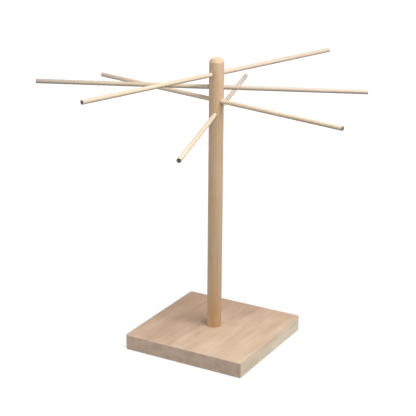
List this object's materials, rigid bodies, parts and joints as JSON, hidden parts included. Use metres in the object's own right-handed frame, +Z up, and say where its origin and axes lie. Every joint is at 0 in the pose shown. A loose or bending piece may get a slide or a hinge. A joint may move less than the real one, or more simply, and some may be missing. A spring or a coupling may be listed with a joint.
{
  "type": "pasta drying rack",
  "caption": "Table-top stand for drying fresh pasta: thin wooden rods pushed through a round post fan out at different heights above a square foot board.",
  "frame": {"origin": "centre of the board's underside", "axes": "+Z up along the post, X and Y along the board's sides"},
  "size_m": [0.4266, 0.4228, 0.403],
  "materials": {
    "board_beech": "sanded, unvarnished",
    "post_beech": "sanded, unvarnished",
    "rod_beech": "sanded, unvarnished",
    "screw_steel": "zinc plated"
  },
  "bodies": {
    "stand": {"board": "board_beech", "post": "post_beech", "foot_screw": "screw_steel"},
    "top_rod": {"top_rod": "rod_beech"},
    "second_rod": {"second_rod": "rod_beech"},
    "third_rod": {"third_rod": "rod_beech"},
    "bottom_rod": {"bottom_rod": "rod_beech"}
  },
  "joints": [
    {"name": "top_rod_slide", "type": "slide", "parent": "stand", "child": "top_rod", "axis": [0.3073, 0.9515, 0.0105], "range_m": [-0.2298, 0.2322]},
    {"name": "second_rod_slide", "type": "slide", "parent": "stand", "child": "second_rod", "axis": [0.9114, 0.4115, -0.0052], "range_m": [-0.2097, 0.2523]},
    {"name": "third_rod_slide", "type": "slide", "parent": "stand", "child": "third_rod", "axis": [0.9668, -0.2554, 0.0122], "range_m": [-0.2227, 0.2393]},
    {"name": "bottom_rod_slide", "type": "slide", "parent": "stand", "child": "bottom_rod", "axis": [-0.3024, 0.9532, 0.007], "range_m": [-0.2322, 0.2298]}
  ]
}
